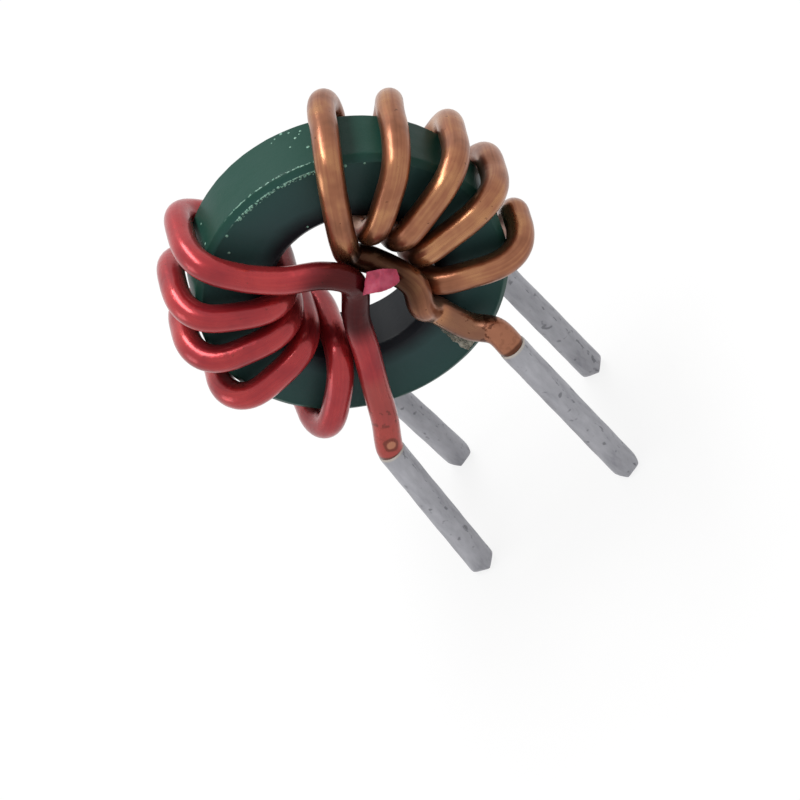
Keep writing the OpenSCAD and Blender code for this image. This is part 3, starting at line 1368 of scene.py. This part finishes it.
@dataclass(kw_only=True)
class CoatBeads(Piece):
    """Beads of coat: powder that gathered on the front edge and in a few spots.

    Each row of wall gives an angle, a depth and a radius, and each row of face
    gives an angle, a distance from the axis and a radius. The rest lie in lines
    along the front edge: one on the rim, and front_lines, which give a distance
    in from the chamfer and the half width of the widest bead.
    """

    name: str = "coat_beads"
    slot: str = "core_coat"
    sizes: PartSizes
    # Paler and glossier than the coat: the beads' pale colour is painted glint.
    finish: EpoxyCoat = EpoxyCoat(
        name="baked_epoxy_bead", base="#4A7867", tint="#6C9C89", roughness=0.2, clear=0.6
    )
    wall: tuple[Triple, ...] = (
        (76.8, 1.7, 0.1),
        (79.5, 1.5, 0.06),
        (74.0, 1.5, 0.07),
        (72.3, 0.83, 0.09),
        (70.6, 1.05, 0.06),
        (68.8, -0.37, 0.11),
        (69.9, 1.29, 0.08),
        (74.9, 0.21, 0.06),
        (81.0, 1.3, 0.05),
        (120.6, 0.47, 0.08),
        (121.3, -1.3, 0.1),
        (123.4, -0.6, 0.06),
    )
    face: tuple[Triple, ...] = (
        (111.8, 8.5, 0.09),
        (118.7, 7.84, 0.08),
        (57.6, 8.5, 0.1),
        (50.3, 8.55, 0.07),
        (42.9, 8.6, 0.09),
        (84.0, 5.3, 0.07),
    )
    rim_widest: float = 0.06
    front_lines: tuple[tuple[float, float], ...] = ((0.0, 0.07), (0.07, 0.075), (0.15, 0.055))
    wall_bed: float = 0.01
    edge_bed: float = 0.035
    edge_from: float = 66.0
    edge_to: float = 105.0
    edge_step: float = 1.3
    edge_stray: float = 0.5
    edge_long: tuple[float, float] = (0.05, 0.14)
    edge_wide: tuple[float, float] = (0.4, 1.0)
    flat: float = 0.35
    tone: float = 0.9
    # How much pale painted glint shows on every bead.
    wear: float = 0.45
    rings: int = 6
    segments: int = 10
    seed: int = 11

    def beads(self) -> list[tuple[Vec, Triple, float]]:
        """Works out every bead.

        Returns:
            Each bead's centre, its half sizes and its angle round the axis.
        """
        s, half = self.sizes, self.sizes.core_h / 2
        rng = np.random.default_rng(self.seed)
        beads = [
            (polar(s.core_r - self.wall_bed, angle, depth), (r, r, r * self.flat), angle)
            for angle, depth, r in self.wall
        ]
        beads += [
            (polar(away, angle, -half), (r, r * self.flat, r), angle)
            for angle, away, r in self.face
        ]
        lines = [(s.core_r, s.chamfer - half, self.rim_widest)]
        lines += [(s.core_r - s.chamfer - inset, -half, w) for inset, w in self.front_lines]
        for away, depth, widest in lines:
            for angle in np.arange(self.edge_from, self.edge_to, self.edge_step):
                here = angle + rng.uniform(-self.edge_stray, self.edge_stray)
                long, wide = rng.uniform(*self.edge_long), rng.uniform(*self.edge_wide) * widest
                place = polar(away - self.edge_bed, here, depth + self.edge_bed)
                beads.append((place, (long, wide, wide), here))
        return beads

    def tree(self) -> bpy.types.GeometryNodeTree:
        """Makes the tree that sets a small flattened ball on each place.

        Returns:
            The tree, with named inputs for the ball's facets.
        """
        bead = {"Points": "@given.Places", "Instance": "@smooth"}
        bead |= {"Rotation": "@turn", "Scale": "@size"}
        return shape_tree(
            self.name,
            {"Places": "Geometry", "Rings": "Int", "Segments": "Int"},
            [
                ("size", READ, {"Name": "bead_size"}, VECTORS),
                ("angles", READ, {"Name": "bead_turn"}, VECTORS),
                ("ball", "GeometryNodeMeshUVSphere", ("@given.Segments", "@given.Rings", 1.0)),
                ("smooth", "GeometryNodeSetShadeSmooth", ("@ball",)),
                ("turn", "FunctionNodeEulerToRotation", ("@angles",)),
                ("beads", "GeometryNodeInstanceOnPoints", bead),
            ],
        )

    def build(self) -> bpy.types.Object:
        """Sets the beads out and joins them into one mesh.

        Returns:
            The beads as one object.
        """
        places, halves, angles = (np.array(column) for column in zip(*self.beads()))
        level = np.zeros(len(places))
        notes = {
            "bead_size": halves * MM,
            "bead_turn": np.stack([level, -np.radians(angles + 90), level], axis=1),
            "tone": level + self.tone,
            "wear": level + self.wear,
        }
        values = {"Rings": self.rings, "Segments": self.segments, "Finish": self.finish.build()}
        return run_tree(self.tree(), self.name, self.sizes.lift(places), notes, values)


def sweep_tree() -> bpy.types.GeometryNodeTree:
    """Makes the tree that sweeps a round wire along a line of points.

    Returns:
        The tree, with named inputs for the wire's sides and its thickness as a
        share of its gauge. The wire keeps straight_place, its place if it were
        laid straight.
    """
    on_points = {**VECTORS, "domain": "POINT"}
    swept = {"Curve": "@curve", "Profile Curve": "@marked", "Scale": "@thick", "Fill Caps": True}
    return shape_tree(
        "wire_sweep",
        {"Line": "Geometry", "Sides": "Int", "Thickness": "Float"},
        [
            ("gauge", READ, {"Name": "gauge"}, NUMBER),
            ("thick", MATH, ("@gauge", "@given.Thickness"), TIMES),
            ("curve", "GeometryNodeMeshToCurve", ("@given.Line",)),
            (
                "circle",
                "GeometryNodeCurvePrimitiveCircle",
                {"Resolution": "@given.Sides", "Radius": 1.0},
            ),
            ("where", "GeometryNodeInputPosition"),
            (
                "marked",
                STORE,
                {"Geometry": "@circle", "Name": "round_place", "Value": "@where"},
                on_points,
            ),
            ("swept", "GeometryNodeCurveToMesh", swept),
            ("smooth", "GeometryNodeSetShadeSmooth", ("@swept",)),
            ("round", READ, {"Name": "round_place"}, VECTORS),
            ("across", SPLIT, ("@round",)),
            ("run", READ, {"Name": "run"}, NUMBER),
            ("straight", "ShaderNodeCombineXYZ", ("@across.X", "@across.Y", "@run")),
            (
                "wire",
                STORE,
                {"Geometry": "@smooth", "Name": "straight_place", "Value": "@straight"},
                on_points,
            ),
        ],
    )


@dataclass(kw_only=True)
class Winding(Piece):
    """One winding: a formed wire whose bare ends go into the solder."""

    route: WireRoute
    finish: WireEnamel
    tree: bpy.types.GeometryNodeTree
    bare_length: float = 0.6
    lip: float = 0.05
    lip_thinning: float = 0.3
    lip_inset: float = 0.4
    sides: int = 28

    def line(self) -> tuple[Vec, Vec, Vec]:
        """Works out the wire's line.

        Returns:
            The points about the core's centre, the radius at each, and the
            distance of each from the nearer end of the enamel.
        """
        s, path = self.route.sizes, self.route.centre_line()
        run = run_of(path)
        gap = np.minimum(run, run[-1] - run)
        radius = np.where(gap < self.lip, s.wire_r - self.lip_thinning * s.enamel, s.wire_r)
        past = np.array([self.lip * self.lip_inset, self.bare_length])
        down, back = (past[:, None] * self.route.axis(face) for face in Face)
        bare = np.full(2, s.bare_r)
        return (
            np.concatenate([path[0] + down[::-1], path, path[-1] + back]),
            np.concatenate([bare, radius, bare]),
            np.concatenate([-past[::-1], gap, -past]),
        )

    def build(self) -> bpy.types.Object:
        """Sweeps the wire along its line.

        Returns:
            The wire, which keeps strip_gap and straight_place for its finish.
        """
        points, radius, gap = self.line()
        notes = {"gauge": radius * MM, "strip_gap": gap, "run": run_of(points)}
        values = {"Sides": self.sides, "Thickness": 1.0, "Finish": self.finish.build()}
        return run_tree(self.tree, self.name, self.route.sizes.lift(points), notes, values)


@dataclass(frozen=True)
class TipCut:
    """One flat that the cutters left on a lead's tip."""

    azimuth: float
    slope: float
    bite: float


@dataclass(kw_only=True)
class TinnedLead(Piece):
    """The soldered end of one wire, dipped and then cropped to length.

    It is built in its own frame, from the top of the lead down, and then
    turned into its place. Rates and twists are in radians for each millimetre.
    """

    slot: str = "tin"
    route: WireRoute
    face: Face
    cuts: tuple[TipCut, ...]
    finish: bpy.types.Material
    seed: int
    sides: int = 40
    pitch: float = 0.12
    tip_rings: int = 7
    top_fade: float = 0.18
    wave: float = 0.012
    wave_rates: tuple[float, float] = (1.3, 2.9)
    oval: float = 0.006
    oval_twist: float = 0.4
    three_sided: float = 0.004
    three_sided_twist: float = -0.7
    softness: float = 0.045
    no_press: float = -4.0
    full_press: float = 8.0
    tip_r: float = 0.44

    def circles(self, length: float) -> Vec:
        """Works out the dipped lead before it is cropped.

        Args:
            length: How long the lead is.

        Returns:
            The rings of points down its side and then in across its tip.
        """
        s = self.route.sizes
        phase = np.random.default_rng(self.seed).uniform(0, 2 * math.pi, 4)
        z = np.linspace(0.0, length, int(length / self.pitch))[:, None]
        turn = 2 * math.pi * np.arange(self.sides) / self.sides
        swell = s.coat_r - self.wave
        for rate, start in zip(self.wave_rates, phase):
            swell = swell + self.wave * 0.5 * np.sin(z * rate + start)
        swell = swell - (s.coat_r - s.wire_r) * (1 - smooth_step(z, 0.0, self.top_fade))
        ripple = 1 + self.oval * np.sin(2 * turn + phase[2] + z * self.oval_twist)
        ripple = ripple + self.three_sided * np.sin(3 * turn + phase[3] + z * self.three_sided_twist)
        rings = [*zip(np.minimum(swell * ripple, s.coat_r), z)]
        shrink = np.linspace(1.0, 0.0, self.tip_rings + 2)[1:-1]
        rings += [(s.coat_r * share, length) for share in shrink]
        rows = [(r * np.cos(turn), r * np.sin(turn), np.full(self.sides, d)) for r, d in rings]
        return np.stack(rows).transpose(0, 2, 1)

    def build(self) -> bpy.types.Object:
        """Builds the lead as one closed skin and crops its tip.

        Returns:
            The lead, which keeps straight_place for its finish.
        """
        top, axis = self.route.lead_top(self.face), self.route.axis(self.face)
        sizes = self.route.sizes
        length = (sizes.centre_z + top[2]) / -axis[2] - self.tip_r * abs(axis[0])
        rings = self.circles(length)
        faces = skin(len(rings), self.sides, ring_loop=False)
        tip = rings.size // 3
        crown, last = tip + 1, tip - self.sides
        for k in range(self.sides):
            j = (k + 1) % self.sides
            faces += [[last + k, tip, last + j], [k, j, crown]]
        poles = [(0.0, 0.0, length), (0.0, 0.0, 0.0)]
        straight = self.crop(np.concatenate([rings.reshape(-1, 3), poles]), length)
        side = unit(np.cross(axis, np.array([0.0, 1.0, 0.0])))
        placed = straight @ np.array([side, np.cross(axis, side), axis]) + top
        made = place_mesh(self.name, sizes.lift(placed), faces, self.finish)
        store(made.data, "straight_place", straight)
        return made

    def crop(self, points: Vec, length: float) -> Vec:
        """Presses the tip in along each cut, with a slightly soft edge.

        The press grows from no_press to full_press, counted in softnesses past
        the cut.

        Args:
            points: Places in the lead's own frame.
            length: How long the lead is.

        Returns:
            The places after every cut.
        """
        low = np.array([0.0, 0.0, length])
        moved = points - low
        for cut in self.cuts:
            turn, tilt = math.radians(cut.azimuth), math.radians(cut.slope)
            normal = np.array([math.cos(turn), math.sin(turn), math.tan(tilt)]) * math.cos(tilt)
            limit = self.route.sizes.coat_r * math.cos(tilt) - cut.bite
            over = (moved @ normal - limit) / self.softness
            far, near = over > self.full_press, over >= self.no_press
            press = np.select([far, near], [over, np.logaddexp(0.0, over)], 0.0)
            moved -= self.softness * press[:, None] * normal
        return moved + low


@dataclass(kw_only=True)
class FixingDab(Piece):
    """The block of adhesive that lies over the two leads in the hole.

    Its corners are given along its own three axes, from the middle of its
    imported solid: across, up and out of the hole. Its skin is torn in waves,
    each with its share, its length and its shift.
    """

    name: str = "fixing_dab_lump"
    slot: str = "adhesive"
    node: str | None = "fixing_dab"
    routes: tuple[WireRoute, ...]
    finish: CuredAdhesive = CuredAdhesive()
    across: Triple = (0.801, -0.187, -0.568)
    up: Triple = (0.546, 0.616, 0.568)
    out: Triple = (0.244, -0.765, 0.596)
    corners: tuple[Triple, ...] = (
        (-0.91, 0.54, 0.35),
        (-0.03, 0.71, 0.72),
        (0.82, 0.69, 0.45),
        (0.99, -0.03, 0.45),
        (0.51, -0.40, 0.45),
        (-0.2, -0.62, 0.74),
        (-1.13, -0.8, 0.35),
    )
    facets: tuple[tuple[int, ...], ...] = ((0, 1, 5, 6), (1, 2, 3, 4, 5))
    rear: float = -0.45
    rear_share: float = 0.9
    softening: float = 0.06
    facet_mm: float = 0.09
    tear: float = 0.05
    tear_sink: float = 0.3
    tear_waves: tuple[tuple[float, float, Triple], ...] = (
        (1.0, 0.42, (4.0, 1.0, 7.0)),
        (0.5, 0.15, (2.0, 8.0, 3.0)),
    )
    film: float = 0.01

    def block(self) -> bmesh.types.BMesh:
        """Makes the creased block with soft edges, cut into small facets.

        Returns:
            The block along its own axes, which the caller frees.
        """
        front = np.array(self.corners)
        back = np.column_stack([front[:, :2] * self.rear_share, np.full(len(front), self.rear)])
        shape = bmesh.new()
        places = [shape.verts.new(p) for p in np.concatenate([front, back])]
        count = len(front)
        for facet in self.facets:
            shape.faces.new([places[k] for k in facet])
        shape.faces.new(places[count:])
        for k in range(count):
            j = (k + 1) % count
            shape.faces.new([places[k], places[j], places[count + j], places[count + k]])
        bmesh.ops.bevel(
            shape,
            geom=shape.edges[:],
            offset=self.softening,
            segments=3,
            profile=0.6,
            affect="EDGES",
        )
        bmesh.ops.triangulate(shape, faces=shape.faces[:])
        for _ in range(3):
            wide = [e for e in shape.edges if e.calc_length() > self.facet_mm]
            bmesh.ops.subdivide_edges(shape, edges=wide, cuts=1)
            bmesh.ops.triangulate(shape, faces=shape.faces[:])
        bmesh.ops.recalc_face_normals(shape, faces=shape.faces[:])
        shape.normal_update()
        return shape

    def build(self) -> bpy.types.Object:
        """Tears the block's skin and fits it to the wires.

        Returns:
            The dab.
        """
        sizes = self.routes[0].sizes
        middle = sum(np.array(corner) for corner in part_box("fixing_dab")) / 2 / MM
        shape = self.block()
        points = []
        for vert in shape.verts:
            rough = sum(share * rumple(vert.co, *wave) for share, *wave in self.tear_waves)
            points.append(vert.co + vert.normal * self.tear * (rough - self.tear_sink))
        faces = sorted([v.index for v in f.verts] for f in shape.faces)
        shape.free()
        placed = np.array(points) @ np.array([self.across, self.up, self.out]) + middle
        lines = [sizes.lift(route.centre_line()) for route in self.routes]
        fitted = clear_of(placed, lines, sizes.wire_r + self.film)
        return place_mesh(self.name, fitted, faces, self.finish.build())


@dataclass(kw_only=True)
class FluxSmear(Piece):
    """A film of set flux that ran from the copper lead down the core's face.

    Its outer border lies on the face and its foot under the wire. Both are
    given as places across and up from the core's centre.
    """

    name: str = "flux_smear"
    slot: str = "adhesive"
    route: WireRoute
    finish: FluxVarnish = FluxVarnish()
    border: tuple[tuple[float, float], ...] = (
        (2.05, -5.35),
        (1.93, -6.26),
        (2.02, -7.04),
        (2.12, -7.83),
        (2.25, -8.27),
    )
    foot: tuple[tuple[float, float], ...] = (
        (2.6, -5.0),
        (2.95, -5.85),
        (3.3, -6.6),
        (3.55, -7.3),
        (3.75, -7.72),
    )
    lead_length: float = 9.0
    ragged: float = 0.12
    rags: float = 9.0
    thin: float = 0.02
    thick: float = 0.05
    wave_mm: float = 0.4
    sink: float = 0.03
    stations: int = 40
    across: int = 17

    def film(self) -> tuple[list[Vec], list[Vec]]:
        """Lays the film from its border on the face up to the wire.

        Returns:
            The places of its upper and of its lower side, station by station.
        """
        s = self.route.sizes
        lead = self.route.centre_line()[: int(self.lead_length / self.route.spacing)]
        knots = np.linspace(0.0, 1.0, len(self.border))
        top, low = [], []
        for share in np.linspace(0.0, 1.0, self.stations):
            start, bend = (
                np.array([np.interp(share, knots, x), -s.core_h / 2, np.interp(share, knots, z)])
                for x, z in (zip(*self.border), zip(*self.foot))
            )
            rag = self.ragged * rumple((share * self.rags, 3.0, 1.0), 1.0)
            start += np.array([rag, 0.0, 0.5 * rag])
            nearest = lead[np.argmin(np.linalg.norm(lead - bend, axis=1))]
            wire = nearest + unit(bend - nearest) * (s.wire_r - self.sink)
            for v in np.linspace(0.0, 1.0, self.across):
                spot = (1 - v) ** 2 * start + 2 * v * (1 - v) * bend + v**2 * wire
                wave = 0.5 + 0.5 * rumple(spot, self.wave_mm)
                crown = math.sin(math.pi * min(1.0, 0.1 + v)) ** 0.5
                lift = self.thin + self.thick * wave * crown
                top.append(spot - np.array([0.0, lift, 0.0]))
                low.append(spot + np.array([0.0, self.sink * (1 - v), 0.0]))
        return top, low

    def build(self) -> bpy.types.Object:
        """Closes the film's two sides along their rim.

        Returns:
            The film as one closed skin.
        """
        top, low = self.film()
        shift, count, rows = len(top), self.across, self.stations
        faces = []
        for i in range(rows - 1):
            for k in range(count - 1):
                a, b = i * count + k, (i + 1) * count + k
                faces.append([a, a + 1, b + 1, b])
                faces.append([shift + a, shift + b, shift + b + 1, shift + a + 1])
        rim = [*range(count), *range(2 * count - 1, shift, count)]
        rim += [*range(shift - 2, shift - count - 1, -1), *range(shift - 2 * count, 0, -count)]
        for a, b in zip(rim, rim[1:] + rim[:1]):
            faces.append([a, shift + a, shift + b, b])
        points = self.route.sizes.lift(top + low)
        return place_mesh(self.name, points, faces, self.finish.build())


# ---------------------------------------------------------------- the studio


@dataclass(frozen=True)
class Softbox:
    """One oblong soft lamp, aimed at the core, its length along Y; in metres."""

    name: str
    direction: Triple
    distance: float
    width: float
    length: float
    watts: float

    def build(self, target: Vector) -> None:
        """Hangs the lamp.

        Args:
            target: The place that it shines on, in metres.
        """
        lamp = bpy.data.lights.new(self.name, "AREA")
        lamp.shape = "RECTANGLE"
        lamp.size = self.width
        lamp.size_y = self.length
        lamp.energy = self.watts
        made = link(bpy.data.objects.new(self.name, lamp))
        away = Vector(self.direction).normalized()
        aside = Vector((0.0, 1.0, 0.0)).cross(away).normalized()
        made.location = target + away * self.distance
        made.rotation_euler = Matrix((aside, away.cross(aside), away)).transposed().to_euler()


@dataclass(frozen=True)
class Studio:
    """The pale table, the soft light and the camera."""

    target_z: float
    camera_place: Triple = (53.759, -179.298, 149.681)
    camera_turn: Triple = (43.61632, 34.64083, -13.11028)
    lens: float = 180.0
    table: float = 6000.0
    paper: PaleTable = PaleTable()
    fill: float = 0.4
    lamps: tuple[Softbox, ...] = (
        Softbox("key_lamp", (-0.06, 0.2, 0.98), 0.40, 0.12, 0.46, 1.7),
        Softbox("side_lamp", (-0.93, -0.10, 0.30), 0.50, 0.22, 0.22, 0.3),
    )

    def camera(self) -> None:
        """Sets the camera."""
        data = bpy.data.cameras.new("camera")
        data.lens = self.lens
        data.clip_start = 0.01
        data.clip_end = 50.0
        made = link(bpy.data.objects.new("camera", data))
        made.location = Vector(self.camera_place) * MM
        made.rotation_euler = Euler([math.radians(a) for a in self.camera_turn], "XYZ")
        bpy.context.scene.camera = made

    def world(self) -> None:
        """Makes the surroundings white to the eye and gentle as light."""
        world = bpy.data.worlds.new("white_studio")
        bpy.context.scene.world = world
        world.use_nodes = True
        rows = [
            *SEEN,
            ("strength", RANGE, ("@seen", 0.0, 1.0, self.fill, 1.0)),
            ("light", "ShaderNodeBackground", {"Color": "#FFFFFF", "Strength": "@strength"}),
            ("result", "ShaderNodeOutputWorld", {"Surface": "@light"}),
        ]
        grow(world.node_tree, rows)

    def floor(self) -> None:
        """Lays the table level with the lead tips."""
        half = self.table / 2
        corners = np.array([(-half, -half, 0), (half, -half, 0), (half, half, 0), (-half, half, 0)])
        made = place_mesh("table", corners, [[0, 1, 2, 3]], self.paper.build(), smooth=False)

    def build(self) -> None:
        """Sets up the whole studio."""
        self.camera()
        self.world()
        self.floor()
        for lamp in self.lamps:
            lamp.build(Vector((0.0, 0.0, self.target_z * MM)))
        bpy.context.scene.view_settings.view_transform = "Standard"


# ---------------------------------------------------------------- all of it


def tinned_leads(red: WireRoute, copper: WireRoute) -> list[TinnedLead]:
    """Lists the four leads, which share one finish.

    Args:
        red: The red winding's route.
        copper: The copper-coloured winding's route.

    Returns:
        The leads, each with its own cuts and seed.
    """
    tin = SolderCoat().build()
    first = (TipCut(20, 40, 0.34), TipCut(110, 34, 0.3), TipCut(205, 45, 0.36), TipCut(300, 38, 0.3))
    other = (TipCut(60, 42, 0.28), TipCut(150, 36, 0.3), TipCut(240, 44, 0.26), TipCut(335, 38, 0.34))
    return [
        TinnedLead(
            name=f"{place}_tin",
            node=f"{place}_tinning",
            route=route,
            face=face,
            cuts=cuts,
            finish=tin,
            seed=seed,
        )
        for place, route, face, cuts, seed in (
            ("red_front", red, Face.FRONT, first, 3),
            ("red_back", red, Face.BACK, other, 5),
            ("copper_front", copper, Face.FRONT, other, 8),
            ("copper_back", copper, Face.BACK, first, 13),
        )
    ]


def main() -> None:
    """Sets up the studio, then builds, dresses and reports every piece."""
    logging.basicConfig(level=logging.INFO, format="%(name)s %(message)s")
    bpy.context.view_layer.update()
    sizes = PartSizes.from_frame()
    LOG.info("core radius %.2f, hole radius %.2f", sizes.core_r, sizes.hole_r)
    Studio(target_z=sizes.centre_z).build()

    copper, red = WireRoute(sizes, COPPER_PLAN), WireRoute(sizes, RED_PLAN)
    sweep = sweep_tree()
    pieces: list[Piece] = [RingCore(sizes=sizes), CoatBeads(sizes=sizes)]
    pieces += [
        Winding(
            name=f"{colour}_wire",
            node=f"{colour}_winding",
            slot=f"{colour}_enamel",
            route=route,
            finish=finish,
            tree=sweep,
        )
        for colour, route, finish in (("copper", copper, WireEnamel()), ("red", red, RED_ENAMEL))
    ]
    pieces += tinned_leads(red, copper)
    pieces += [FixingDab(routes=(copper, red)), FluxSmear(route=copper)]
    for piece in pieces:
        made = piece.dress()
        LOG.info("%s: %d faces", made.name, len(made.data.polygons))


if __name__ == "__main__":
    main()
